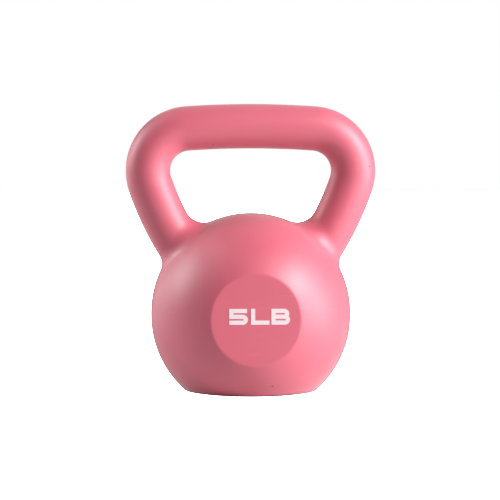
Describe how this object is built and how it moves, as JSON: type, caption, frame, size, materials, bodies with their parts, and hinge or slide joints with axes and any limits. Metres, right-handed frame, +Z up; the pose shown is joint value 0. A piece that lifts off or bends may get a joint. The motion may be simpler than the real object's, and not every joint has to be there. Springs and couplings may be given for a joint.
{
  "type": "kettlebell",
  "caption": "Small round kettlebell with a wide loop handle, flat front and rear facets and a level base; moulded plastic shell over a cement core and a bent steel handle rod.",
  "frame": {"origin": "on the resting plane, under the centre of the ball", "axes": "+Z up; X along the handle; -Y out of the front facet, which carries the printed weight"},
  "size_m": [0.1588, 0.1137, 0.1824],
  "materials": {
    "shell": "satin",
    "cement": "matte",
    "steel": "satin",
    "plug": "satin",
    "ring": "matte",
    "ink": "satin"
  },
  "bodies": {
    "root": {"front_shell": "shell", "rear_shell": "shell", "cement_fill": "cement", "handle_rod": "steel", "rod_anchor": "steel", "filler_plug": "plug", "base_ring": "ring", "weight_mark": "ink"}
  },
  "joints": []
}
